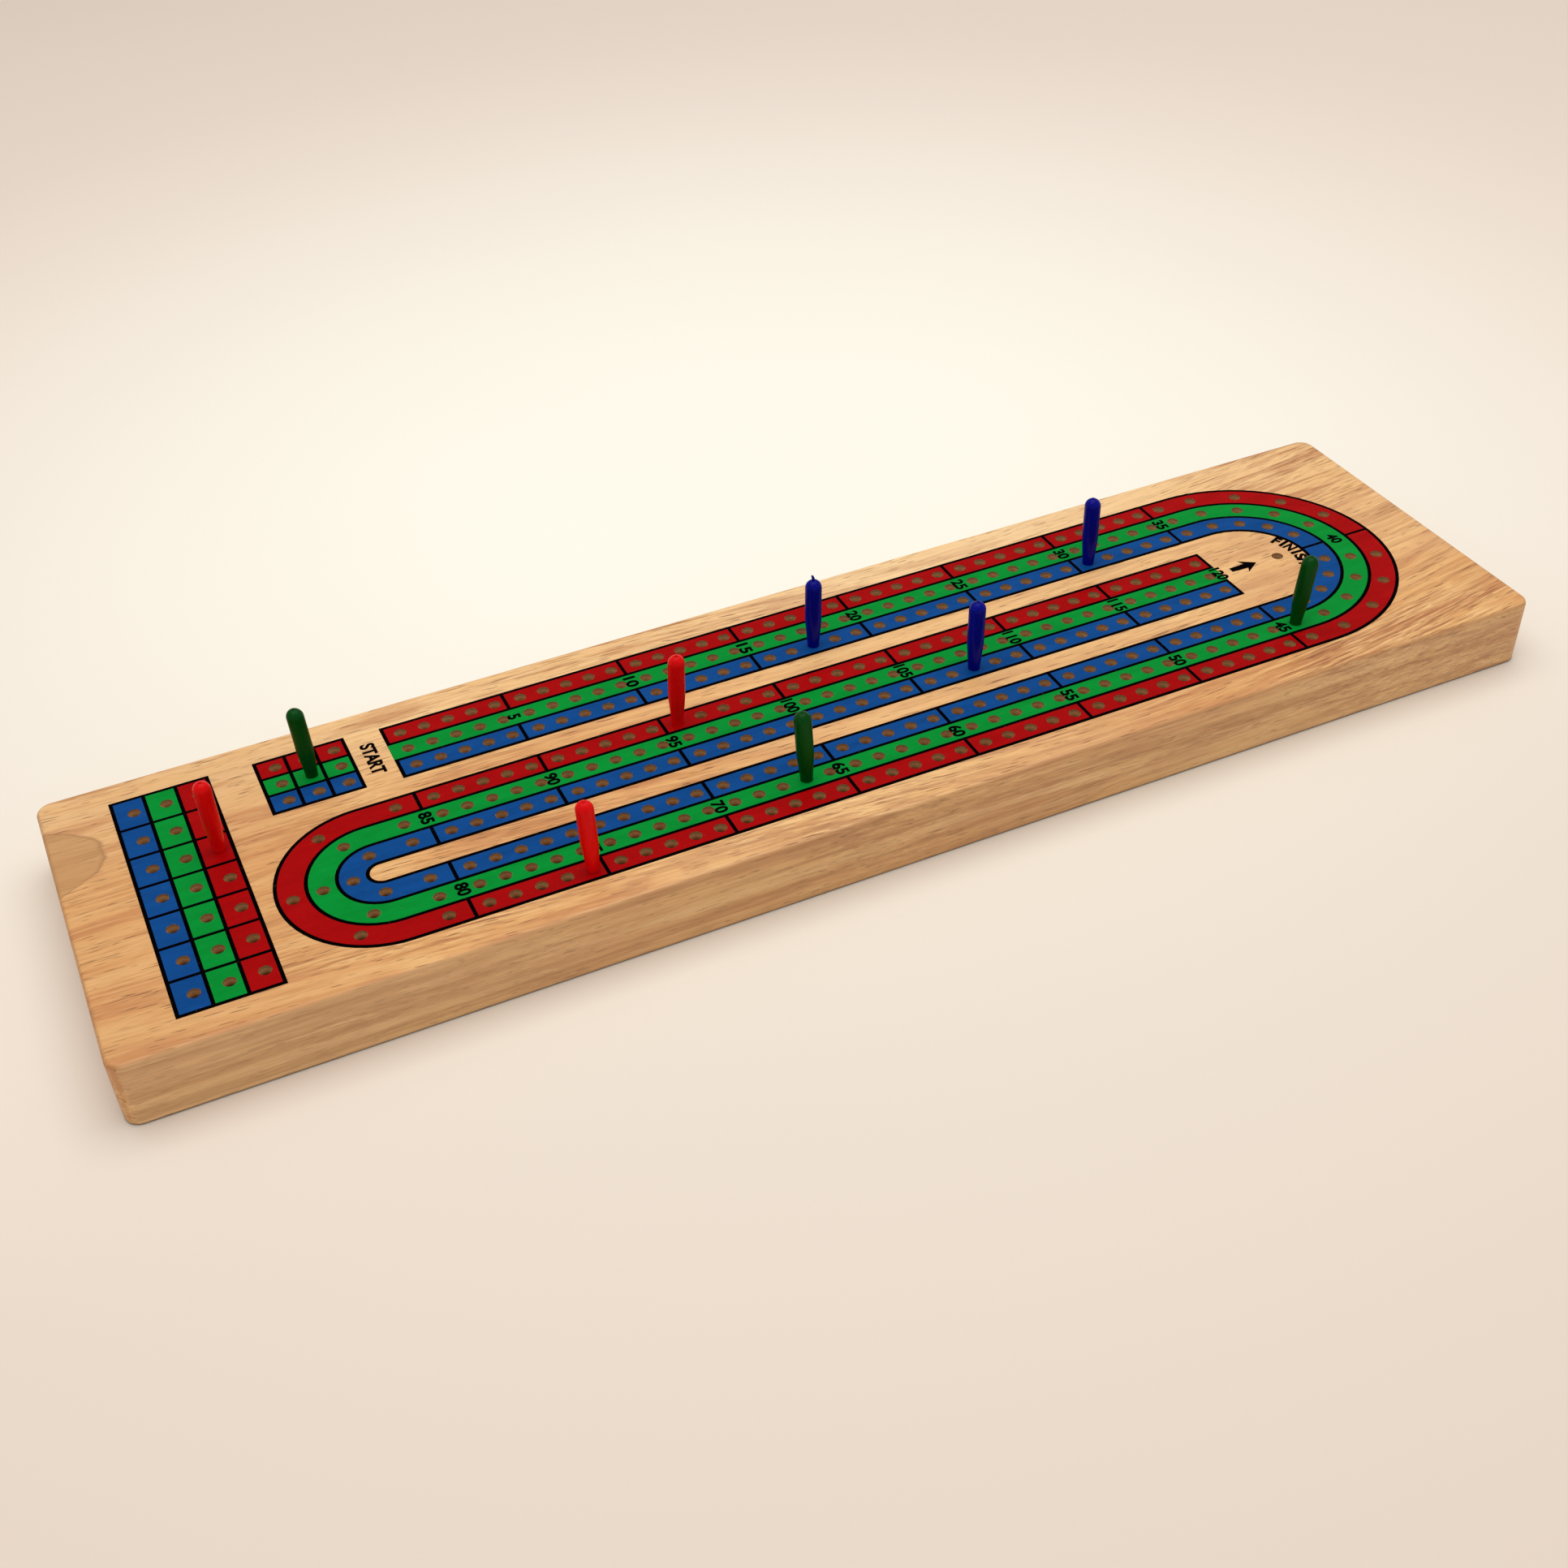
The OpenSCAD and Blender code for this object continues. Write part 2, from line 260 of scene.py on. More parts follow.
def tint_by_place(shader, point, colour, streak):
    """The top's slow changes of colour: a painted sheen at the back, pale in front, darker left, ruddy right.
    """
    along, across, _ = shader.axes(point)
    off_middle = shader.math("ABSOLUTE", across)
    half_width = board_high.y / MM
    on_top = shader.fit(off_middle, half_width - 0.2, half_width - 0.8)
    # Painted sheen: a pale patch at the back, around this place along the board, in place of the lacquer's
    # reflection of the bright room
    sheen_x = 65
    from_sheen = shader.math("ABSOLUTE", shader.math("SUBTRACT", along, sheen_x))
    painted_sheen = shader.math("MULTIPLY", shader.fit(from_sheen, 95, 25, smooth=True),
                           shader.fit(across, 15, 46, 0, 0.3))
    middle = shader.math("MULTIPLY", shader.fit(off_middle, 22, 14, 0, 0.2, smooth=True),
                         shader.fit(along, -60, 20, smooth=True))
    front = shader.fit(shader.math("ABSOLUTE", along), 95, 45, 0, 0.16, smooth=True)
    front = shader.math("MULTIPLY", shader.math("MULTIPLY", front, shader.fit(across, -34, -40)), on_top)
    left = shader.math("MULTIPLY", shader.fit(along, -105, -140, 0, 0.22, smooth=True), on_top)
    ruddy = shader.math("MULTIPLY", shader.fit(along, 105, 165, smooth=True),
                        shader.fit(streak, 0.50, 0.58))
    ruddy = shader.math("MULTIPLY", ruddy, 0.24)
    for amount, shade in ((painted_sheen, srgb(255, 226, 178)), (middle, srgb(255, 220, 164)),
                          (front, srgb(255, 218, 162)), (left, srgb(190, 128, 72)),
                          (ruddy, srgb(174, 110, 64))):
        colour = shader.mix(amount, colour, shade)
    return colour


def lacquered_wood():
    shader = Shader("lacquered_wood")
    point, colour, fibre, pore = wood_grain(shader)
    colour = cut_faces(shader, point, colour)
    colour = heartwood_patch(shader, point, colour)
    colour = handled_edges(shader, point, colour)
    dull = shader.noise(shader.stretch(point, (0.05, 0.12, 0.12)), detail=3)
    roughness = shader.math("MULTIPLY_ADD", pore, 0.2, shader.fit(dull, 0.3, 0.7, 0.38, 0.5))
    grain = shader.bump(fibre, 0.03 * MM, 0.5)
    dents = shader.bump(shader.math("SUBTRACT", 1.0, pore), 0.06 * MM, 0.6, grain)
    shader.set(Base_Color=colour, Roughness=roughness, Normal=dents, IOR=1.5, Specular_IOR_Level=0.5)
    return shader.material


def cut_faces(shader, point, colour):
    """The long sides, paler and greyer than the top and striped by its growth layers, and the end grain."""
    along, across, _ = shader.axes(point)
    side = board_high.y / MM
    end = board_high.x / MM
    blend_from, blend_to = 0.7, 0.2
    on_side = shader.fit(shader.math("ABSOLUTE", across), side - blend_from, side - blend_to)
    on_end = shader.fit(shader.math("ABSOLUTE", along), end - blend_from, end - blend_to, 0, 0.2)
    layers = shader.noise(shader.stretch(point, (0.006, 0.03, 0.36), (2, 0, 4)), detail=3, roughness=0.55)
    for amount, shade in ((0.3, srgb(208, 172, 128)),
                          (shader.fit(along, -40, -120, 0, 0.24, smooth=True), srgb(240, 200, 148)),
                          (shader.fit(layers, 0.51, 0.63, 0, 0.42), srgb(172, 120, 72)),
                          (shader.fit(layers, 0.50, 0.38, 0, 0.42), srgb(230, 188, 134))):
        colour = shader.mix(shader.math("MULTIPLY", on_side, amount), colour, shade)
    return shader.mix(on_end, colour, srgb(146, 98, 52))


def heartwood_patch(shader, point, colour):
    """A shallow darker tongue of heartwood that runs in from the left end."""
    reach = 12.5
    middle = 24.5
    half = 13
    bulge = 2.6
    taper = 1.2
    raggedness = 2.5
    edge = shader.noise(shader.stretch(point, (0.11, 0.11, 0.11)))
    along, across, up = shader.axes(point)
    inward = shader.math("SUBTRACT", along, board_low.x / MM)
    depth = shader.math("SUBTRACT", board_top / MM, up)
    side = shader.math("ABSOLUTE", shader.math("DIVIDE", shader.math("SUBTRACT", across, middle), half))
    tongue = shader.math("MULTIPLY", shader.math("SUBTRACT", 1.0, shader.math("POWER", side, bulge)), reach)
    gap = shader.math("MULTIPLY_ADD", depth, -taper, shader.math("SUBTRACT", tongue, inward))
    gap = shader.math("ADD", gap, shader.math("MULTIPLY_ADD", edge, 2 * raggedness, -raggedness))
    border = 0.3
    inside = shader.fit(gap, -0.1, border, 0, 0.66)
    rim = shader.fit(shader.math("ABSOLUTE", shader.math("SUBTRACT", gap, border)), 0.0, 0.9, 0.5, 0.0)
    colour = shader.mix(inside, colour, srgb(182, 134, 80))
    return shader.mix(rim, colour, srgb(150, 104, 60))


def handled_edges(shader, point, colour):
    """A painted dark reflection on the rounded top edge, and a painted contact shadow where the board meets
    the table.
    """
    height = shader.axes(point)["Z"]
    top = board_top / MM
    # Painted reflection: a dark line on the rounded top edge, where the lacquer reflects the darker room
    above = shader.fit(height, top - 1.3, top - 0.8)
    below = shader.fit(height, top - 0.02, top - 0.25, 0, 0.28)
    colour = shader.mix(shader.math("MULTIPLY", above, below), colour, srgb(158, 100, 54))
    # Painted contact shadow: darker in the lowest millimetre of the sides, where the board meets the table
    near_table = shader.fit(height, 0.8, 0.25, 0, 0.9)
    off_underside = shader.fit(height, 0.01, 0.08)
    return shader.mix(shader.math("MULTIPLY", near_table, off_underside), colour, srgb(76, 46, 26))


def raw_wood(name, shade, amount, deep, rim_shade):
    """Unlacquered wood inside the drilled holes and the milled store, with painted shade at the rim and
    further in.
    """
    shader = Shader(name)
    point, colour, _, _ = wood_grain(shader)
    fuzz = shader.noise(shader.stretch(point, (1.5, 1.5, 1.5)), detail=3, roughness=0.7)
    colour = shader.mix(amount, colour, shade)
    colour = shader.mix(shader.fit(fuzz, 0.4, 0.7, 0, 0.25), colour, srgb(150, 104, 62))
    depth = shader.math("SUBTRACT", board_top / MM, shader.axes(point)["Z"])
    # Painted shade: darker just below the hole's rim
    colour = shader.mix(shader.fit(depth, 0.3, 1.0, rim_shade, 0, smooth=True), colour, srgb(84, 44, 18))
    # Painted shade: darker further down the hole
    colour = shader.mix(shader.fit(depth, 1.5, 2.8, 0, deep, smooth=True), colour, srgb(84, 52, 22))
    shader.set(Base_Color=colour, Roughness=0.75, Normal=shader.bump(fuzz, 0.08 * MM, 0.6))
    return shader.material


def ink(name, colour, deep, gloss=0.03):
    """Screen-printed ink under satin lacquer: it follows the grain and thins out a little over it."""
    shader = Shader(name)
    point = shader.position()
    mottle = shader.noise(shader.stretch(point, (0.08, 0.3, 0.3)), detail=4, roughness=0.6)
    grain = shader.noise(shader.stretch(point, (0.06, 3.2, 3.2)), detail=3, roughness=0.65)
    specks = shader.noise(shader.stretch(point, (0.9, 3.0, 3.0)), detail=1)
    shade = shader.mix(shader.fit(mottle, 0.35, 0.68), colour, deep)
    shade = shader.mix(shader.fit(grain, 0.52, 0.78, 0, 0.35), shade, deep)
    shade = shader.mix(shader.fit(specks, 0.74, 0.80, 0, 0.35), shade, srgb(120, 82, 50))
    roughness = shader.fit(mottle, 0.3, 0.7, 0.4, 0.52)
    shader.set(Base_Color=shade, Roughness=roughness, Normal=shader.bump(grain, 0.03 * MM, 0.5))
    shader.set(IOR=1.48, Specular_IOR_Level=gloss)
    return shader.material


def peg_plastic(name, colour, deep, glow):
    """Glossy, slightly translucent moulded plastic with faint flow marks."""
    shader = Shader(name)
    point = shader.position()
    flow = shader.noise(shader.stretch(point, (0.4, 0.4, 0.08)))
    skin = shader.noise(shader.stretch(point, (1.2, 1.2, 0.4)))
    shade = shader.mix(shader.fit(flow, 0.35, 0.7), colour, deep)
    shader.set(Base_Color=shade, Roughness=shader.fit(skin, 0.3, 0.7, 0.22, 0.32))
    shader.set(Normal=shader.bump(skin, 0.01 * MM, 0.2))
    shader.set(IOR=1.5, Specular_IOR_Level=0.08)
    shader.set(Subsurface_Weight=glow, Subsurface_Radius=(1.0, 0.5, 0.4), Subsurface_Scale=1.2 * MM)
    return shader.material


def sheet_steel():
    shader = Shader("sheet_steel")
    point = shader.position()
    rolled = shader.noise(shader.stretch(point, (0.12, 6.0, 6.0)), detail=4, roughness=0.7)
    smear = shader.noise(shader.stretch(point, (0.06, 0.09, 0.09)), detail=3)
    shade = shader.mix(shader.fit(rolled, 0.3, 0.7), srgb(196, 198, 200), srgb(170, 172, 174))
    shade = shader.mix(shader.fit(smear, 0.45, 0.75, 0, 0.35), shade, srgb(150, 148, 142))
    roughness = shader.math("ADD", shader.fit(rolled, 0.3, 0.7, 0.26, 0.36),
                            shader.fit(smear, 0.4, 0.7, 0, 0.12))
    rolling_marks = shader.bump(rolled, 0.01 * MM, 0.5)
    shader.set(Base_Color=shade, Roughness=roughness, Metallic=1.0, Normal=rolling_marks)
    return shader.material


def table_top():
    """A matt pale sheet with a painted pool of light behind the middle of the board and painted shade in
    front of it.
    """
    shader = Shader("table_top")
    point = shader.position()
    light_pool_centre = (40, 140)
    haze = shader.noise(shader.stretch(point, (0.004, 0.004, 0.004)))
    off_centre = shader.stretch(point, (1, 1, 0), (-light_pool_centre[0], -light_pool_centre[1], 0))
    distance = shader.add("VectorMath", {0: off_centre}, operation="LENGTH").outputs["Value"]
    # Painted light: the sheet is whitest round this centre and greyer further out, in place of the lamp's
    # falloff
    shade = shader.mix(shader.fit(distance, 60, 450, smooth=True), srgb(248, 246, 235), srgb(233, 218, 206))
    shade = shader.mix(shader.fit(haze, 0.3, 0.7, 0, 0.12), shade, srgb(236, 225, 211))
    across = shader.axes(point)["Y"]
    # Painted shade: the sheet turns greyer in front of the board
    shade = shader.mix(shader.fit(across, -10, -110, 0, 0.36, smooth=True), shade, srgb(224, 208, 194))
    shader.set(Base_Color=shade, Roughness=0.6, Specular_IOR_Level=0.2)
    return shader.material


# ---------------------------------------------------------------- mesh helpers

def new_piece(name, mesh_data, body, materials, replaces=()):
    """Wraps a finished bmesh as a piece of the object."""
    mesh = bpy.data.meshes.new(name)
    mesh_data.to_mesh(mesh)
    mesh_data.free()
    for material in materials:
        mesh.materials.append(material)
    piece = bpy.data.objects.new(name, mesh)
    bpy.context.scene.collection.objects.link(piece)
    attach(piece, body)
    if replaces:
        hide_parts(*replaces)
    return piece


def rounded_outline(length, width, radius, corner_steps, centre=(0, 0)):
    """Points round a rectangle with round corners, anticlockwise from the lower right corner."""
    points = []
    for quarter, (side_x, side_y) in enumerate(((1, -1), (1, 1), (-1, 1), (-1, -1))):
        middle = Vector((centre[0] + side_x * (length / 2 - radius),
                         centre[1] + side_y * (width / 2 - radius)))
        for step in range(corner_steps + 1):
            angle = math.radians(90 * (quarter - 1) + 90 * step / corner_steps)
            points.append(middle + radius * Vector((math.cos(angle), math.sin(angle))))
    return points


def circle_points(centre, radius, steps, wobble=0.0, seed=0.0):
    """Points round a circle, drawn in unevenly by up to the wobble."""
    unevenness = 1.7
    points = []
    for step in range(steps):
        angle = 2 * math.pi * step / steps
        ripple = noise.noise(Vector((math.cos(angle) * unevenness, math.sin(angle) * unevenness, seed)))
        reach = radius - wobble * abs(ripple)
        points.append(Vector((centre[0] + reach * math.cos(angle), centre[1] + reach * math.sin(angle))))
    return points


def flat_box(points):
    """The lowest and the highest corner of the box round some points in the plane."""
    return (Vector((min(p.x for p in points), min(p.y for p in points))),
            Vector((max(p.x for p in points), max(p.y for p in points))))


def add_ring(data, outline, z):
    return [data.verts.new((p[0], p[1], z)) for p in outline]


def bridge(data, lower, upper, material=0):
    """Quads between two closed rings of the same length, facing outwards for anticlockwise rings."""
    count = len(lower)
    for i in range(count):
        j = (i + 1) % count
        face = data.faces.new((lower[i], lower[j], upper[j], upper[i]))
        face.material_index = material
        face.smooth = True


def fill_plane(data, rings, up, material=0):
    """Triangles over the first ring, with every other ring left open as a hole."""
    vertices = []
    edges = []
    ring_of = []
    for number, ring in enumerate(rings):
        start = len(vertices)
        vertices += ring
        ring_of += [number] * len(ring)
        edges += [(start + i, start + (i + 1) % len(ring)) for i in range(len(ring))]
    flat = [vertex.co.xy for vertex in vertices]
    near = 1e-9
    _, _, triangles, origins, _, _ = delaunay_2d_cdt(flat, edges, [], INSIDE_ONLY, near, True)
    sources = [origin[0] for origin in origins]
    for triangle in triangles:
        corners = [sources[i] for i in triangle]
        owners = {ring_of[i] for i in corners}
        if len(owners) == 1 and owners != {0}:
            continue
        if not up:
            corners.reverse()
        face = data.faces.new([vertices[i] for i in corners])
        face.material_index = material
        face.smooth = False


def sharpen(data, ring):
    """Marks a closed ring of edges sharp, so that smooth shading stops there."""
    for here, there in zip(ring, ring[1:] + ring[:1]):
        edge = data.edges.get((here, there))
        if edge:
            edge.smooth = False


# ---------------------------------------------------------------- the board

def hole_centres():
    """The middle of every drilled hole, read from the CAD board's hole bottoms."""
    floor_z = board_top - HOLE_DEPTH
    near = 1e-6
    one_hole = 2.05 * HOLE_R
    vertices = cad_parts["board"].data.vertices
    points = sorted((v.co.xy for v in vertices if abs(v.co.z - floor_z) < near), key=lambda p: (p.x, p.y))
    centres = []
    while points:
        seed = points[0]
        low, high = flat_box([p for p in points if (p - seed).length < one_hole])
        centres.append((low + high) / 2)
        points = [p for p in points if (p - seed).length >= one_hole]
    return centres


# Sizes of the store in the underside, which its cover's box can't tell
STORE_W = 24 * MM
STORE_R = 4 * MM
LIP_T = 1.6 * MM
GROOVE_H = 1.1 * MM
GROOVE_W = 2 * MM
STORE_DEPTH = 8.2 * MM
COVER_LAP = 2 * MM
COVER_PLAY = 0.15 * MM
FINGER_R = 4.5 * MM
cover_low, cover_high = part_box("storage_cover")
cover_length = cover_high.x - cover_low.x
cover_centre = (cover_low + cover_high) / 2
store_length = cover_length - 2 * COVER_LAP
channel_length = 2 * cover_length + 2 * COVER_PLAY


def board_outline(inset):
    size = board_high - board_low
    corner_steps = 10
    return rounded_outline(size.x - 2 * inset, size.y - 2 * inset, CORNER_R - inset, corner_steps)


def board_shell(data):
    """Rounded edges and side walls, from the underside's rim to the top's rim."""
    steps = 8
    rings = []
    for low_side in (True, False):
        for step in range(steps + 1):
            angle = math.radians(90 * step / steps)
            if low_side:
                inset = LOW_EDGE_R * (1 - math.sin(angle))
                z = board_low.z + LOW_EDGE_R * (1 - math.cos(angle))
            else:
                inset = EDGE_R * (1 - math.cos(angle))
                z = board_high.z - EDGE_R * (1 - math.sin(angle))
            rings.append(add_ring(data, board_outline(inset), z))
    for lower, upper in zip(rings, rings[1:]):
        bridge(data, lower, upper, LACQUERED)
    sharpen(data, rings[0])
    sharpen(data, rings[-1])
    return rings[0], rings[-1]


def drill(data, centre, number):
    """One blind hole; returns its rim in the board's top face."""
    steps = 28
    cone = 0.9 * MM
    torn = 0.05 * MM
    torn_depth = 0.25 * MM
    rim = add_ring(data, circle_points(centre, HOLE_R, steps, torn, number), board_top)
    waist = add_ring(data, circle_points(centre, HOLE_R, steps), board_top - torn_depth)
    foot = add_ring(data, circle_points(centre, HOLE_R, steps), board_top - HOLE_DEPTH)
    for lower, upper in ((rim, waist), (waist, foot)):
        bridge(data, lower, upper, DRILLED)
    tip = data.verts.new((centre[0], centre[1], board_top - HOLE_DEPTH - cone))
    for i in range(steps):
        face = data.faces.new((foot[i], foot[(i + 1) % steps], tip))
        face.material_index = DRILLED
        face.smooth = True
    sharpen(data, rim)
    sharpen(data, foot)
    return rim


def mill_store(data):
    """The channel, its grooves and the store above them; returns the mouth in the underside."""
    steps = 4
    mouth_r = 2 * MM
    step_in = 0.02 * MM
    groove_w = STORE_W + 2 * GROOVE_W
    mouth_out = rounded_outline(channel_length, STORE_W, mouth_r, steps)
    groove_out = rounded_outline(channel_length + step_in, groove_w, mouth_r, steps)
    store_out = rounded_outline(store_length, STORE_W - step_in, STORE_R, steps, (cover_centre.x, 0))
    groove_low = board_low.z + LIP_T
    groove_high = groove_low + GROOVE_H
    store_top = board_low.z + STORE_DEPTH
    mouth = add_ring(data, mouth_out, board_low.z)
    lip = add_ring(data, mouth_out, groove_low)
    ledge = add_ring(data, groove_out, groove_low)
    ceiling = add_ring(data, groove_out, groove_high)
    brim = add_ring(data, store_out, groove_high)
    roof = add_ring(data, store_out, store_top)
    for lower, upper in ((lip, mouth), (ledge, lip), (ceiling, ledge), (roof, brim)):
        bridge(data, lower, upper, MILLED)
    fill_plane(data, [ceiling, brim], up=False, material=MILLED)
    fill_plane(data, [roof], up=False, material=MILLED)
    for ring in (mouth, lip, ledge, ceiling, brim, roof):
        sharpen(data, ring)
    return mouth


def make_board():
    data = bmesh.new()
    bottom_rim, top_rim = board_shell(data)
    rims = [drill(data, centre, number) for number, centre in enumerate(hole_centres())]
    fill_plane(data, [top_rim] + rims, up=True, material=LACQUERED)
    fill_plane(data, [bottom_rim, mill_store(data)], up=False, material=LACQUERED)
    materials = [lacquered_wood(),
                 raw_wood("drilled_wood", srgb(226, 176, 120), amount=0.75, deep=0.8, rim_shade=0.6),
                 raw_wood("milled_wood", srgb(226, 184, 134), amount=0.4, deep=0.0, rim_shade=0.0)]
    return new_piece("wooden_board", data, "board", materials, ["board"])


# ---------------------------------------------------------------- the print

def paint_print():
    inks = {
        "red_print": ink("red_ink", srgb(164, 3, 6), srgb(152, 2, 4)),
        "green_print": ink("green_ink", srgb(0, 143, 52), srgb(0, 132, 46)),
        "blue_print": ink("blue_ink", srgb(12, 73, 142), srgb(8, 65, 128)),
        "black_print": ink("black_ink", srgb(5, 2, 4), srgb(3, 1, 3), gloss=0.004),
    }
    for node, material in inks.items():
        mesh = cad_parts[node].data
        mesh.materials.clear()
        mesh.materials.append(material)
    return inks["black_print"]


# ---------------------------------------------------------------- lettering

READING_DOWN = math.radians(-90)
LETTER_T = INK_T + 0.02 * MM
INK_SPREAD = 0.19 * MM
DIGIT_H = 3.4 * MM
# How wide a number of one, two or three digits is printed
NUMBER_W = {1: 2.07 * MM, 2: 4.6 * MM, 3: 5.75 * MM}

# Along X: the centre of the right turn, the last line of the streets and their first line
line_w = black_high.x - green_high.x - LANE_PITCH
turn_x = black_high.x - line_w / 2 - OUTER_LINE
last_x = turn_x - TURN_GAP
start_x = last_x - GROUPS * GROUP_PITCH


def text_triangles(text, size):
    """A word in Blender's built-in face: its points round the middle, its triangles and its size."""
    curve = bpy.data.curves.new("word", "FONT")
    curve.body = text
    curve.size = size
    curve.offset = INK_SPREAD
    curve.resolution_u = 6
    holder = bpy.data.objects.new("word", curve)
    bpy.context.scene.collection.objects.link(holder)
    bpy.context.view_layer.update()
    evaluated = holder.evaluated_get(bpy.context.evaluated_depsgraph_get())
    mesh = evaluated.to_mesh()
    points = [v.co.xy for v in mesh.vertices]
    faces = [list(p.vertices) for p in mesh.polygons]
    evaluated.to_mesh_clear()
    bpy.data.objects.remove(holder)
    bpy.data.curves.remove(curve)
    # The widened outlines overlap themselves here and there: this joins them into one clean layer
    inked = [[points[i] for i in face] for face in faces]
    edges = [(a, b) for face in faces for a, b in zip(face, face[1:] + face[:1])]
    near = size * 0.002
    points, _, faces, _, _, _ = delaunay_2d_cdt(points, edges, [], INSIDE_ONLY, near, False)
    faces = [face for face in faces if is_inked(middle_of(points, face), inked)]
    part_touching_fans(points, faces)
    low, high = flat_box(points)
    return [p - (low + high) / 2 for p in points], faces, high - low


def middle_of(points, face):
    """The mean of the points that a face names."""
    return sum((points[i] for i in face), Vector((0, 0))) / len(face)


def is_inked(point, triangles):
    """Whether any of the triangles, each given as its corners, holds the point."""
    return any(intersect_point_tri_2d(point, *corners) for corners in triangles)


def part_touching_fans(points, faces):
    """Draws triangles that meet in one point only a hair apart, so that the raised print is a clean solid."""
    hair = 0.05
    for i in range(len(points)):
        fans = []
        for number, face in enumerate(faces):
            if i not in face:
                continue
            others = set(face) - {i}
            members = [number]
            joined = [fan for fan in fans if fan[0] & others]
            fans = [fan for fan in fans if fan not in joined]
            for fan_others, fan_members in joined:
                others |= fan_others
                members += fan_members
            fans.append((others, members))
        for _, members in fans[1:]:
            middles = [middle_of(points, faces[n]) for n in members]
            points.append(points[i].lerp(middle_of(middles, range(len(middles))), hair))
            for n in members:
                faces[n] = [len(points) - 1 if j == i else j for j in faces[n]]


def print_word(data, text, centre, turn, height, width):
    """Prints a word of exact height and width, turned about its centre, as a thin raised layer."""
    face_per_height = 1.4
    points, faces, size = text_triangles(text, height * face_per_height)
    factor = Vector((width / size.x, height / size.y))
    cos, sin = math.cos(turn), math.sin(turn)
    placed = []
    for p in points:
        x, y = p.x * factor.x, p.y * factor.y
        placed.append((centre[0] + x * cos - y * sin, centre[1] + x * sin + y * cos))
    raise_outline(data, placed, faces)


def raise_outline(data, points, faces):
    """A closed flat patch of ink that lies on the board."""
    used = sorted({i for face in faces for i in face})
    lower = {i: data.verts.new((*points[i], board_top)) for i in used}
    upper = {i: data.verts.new((*points[i], board_top + LETTER_T)) for i in used}
    made = []
    for face in faces:
        corners = [points[i] for i in face]
        turn = sum(a[0] * b[1] - a[1] * b[0] for a, b in zip(corners, corners[1:] + corners[:1]))
        order = face if turn > 0 else face[::-1]
        made.append(order)
        data.faces.new([upper[i] for i in order])
        data.faces.new([lower[i] for i in reversed(order)])
    sides = {(a, b) for order in made for a, b in zip(order, order[1:] + order[:1])}
    for a, b in sides:
        if (b, a) not in sides:
            data.faces.new((lower[a], lower[b], upper[b], upper[a]))


def street_numbers(black):
    """Multiples of five in the green lane, all read from the back edge towards the front."""
    in_turn, front_first, middle_first = 40, 45, 85
    data = bmesh.new()
    for i in range(GROUPS + 1):
        x = start_x + i * GROUP_PITCH
        if i:
            number_at(data, PER_GROUP * i, x, GREEN_LANE)
        number_at(data, front_first + PER_GROUP * (GROUPS - i), x, -GREEN_LANE)
        number_at(data, middle_first + PER_GROUP * i, x, 0)
    number_at(data, in_turn, turn_x + GREEN_LANE, 0)
    return new_piece("street_numbers", data, "board", [black])


def number_at(data, number, x, y):
    text = str(number)
    print_word(data, text, (x, y), READING_DOWN, DIGIT_H, NUMBER_W[len(text)])


def words_and_arrow(black):
    """The word before the first line, the word bent round inside the right turn, and the arrow to it."""
    data = bmesh.new()
    start_at = (start_x - 5.1 * MM, GREEN_LANE)
    start_h = 3.8 * MM
    start_w = 13.2 * MM
    print_word(data, "START", start_at, READING_DOWN, start_h, start_w)
    letter_angles = (24.5, 16.5, 7.5, -2.5, -11.5, -20.5)
    letter_widths = (2.1, 0.9, 2.6, 0.9, 2.5, 2.6)
    letter_h = 3.4 * MM
    middle_r = 15.7 * MM
    for letter, degrees, width in zip("FINISH", letter_angles, letter_widths):
        angle = math.radians(degrees)
        centre = (turn_x + middle_r * math.cos(angle), middle_r * math.sin(angle))
        print_word(data, letter, centre, READING_DOWN + angle, letter_h, width * MM)
    arrow(data)
    return new_piece("start_finish_marks", data, "board", [black])


def arrow(data):
    tail_x = last_x + 3.9 * MM
    head_x = last_x + 7.9 * MM
    tip_x = last_x + 12.1 * MM
    tail = 0.84 * MM
    shaft = 1.05 * MM
    barb = 2.8 * MM
    notch_x = head_x + 0.9 * MM
    half = [(tail_x, tail), (notch_x, shaft), (head_x, barb), (tip_x, 0)]
    points = half + [(x, -y) for x, y in half[-2::-1]]
    raise_outline(data, points, [[0, 1, 5, 6], [1, 2, 3], [1, 3, 5], [3, 4, 5]])


# ---------------------------------------------------------------- pegs

SHANK_R = 1.52 * MM
SHANK_L = 8 * MM
TIP_R = 1.25 * MM
TAPER_H = 8 * MM
GATE_H = 0.4 * MM
LONG_GATES = {"blue_third_peg": 1.6 * MM}
# The cheap pegs aren't quite straight: how far each top leans in the direction below, in millimetres
LEANS = {"red_lead_peg": 1.0, "red_trail_peg": -0.25, "red_games_peg": 0.0, "green_lead_peg": -0.55,
         "green_trail_peg": 1.4, "green_start_peg": -0.7, "blue_lead_peg": 0.4, "blue_third_peg": 0.5}
LEAN_TO = Vector((0.91, -0.41))


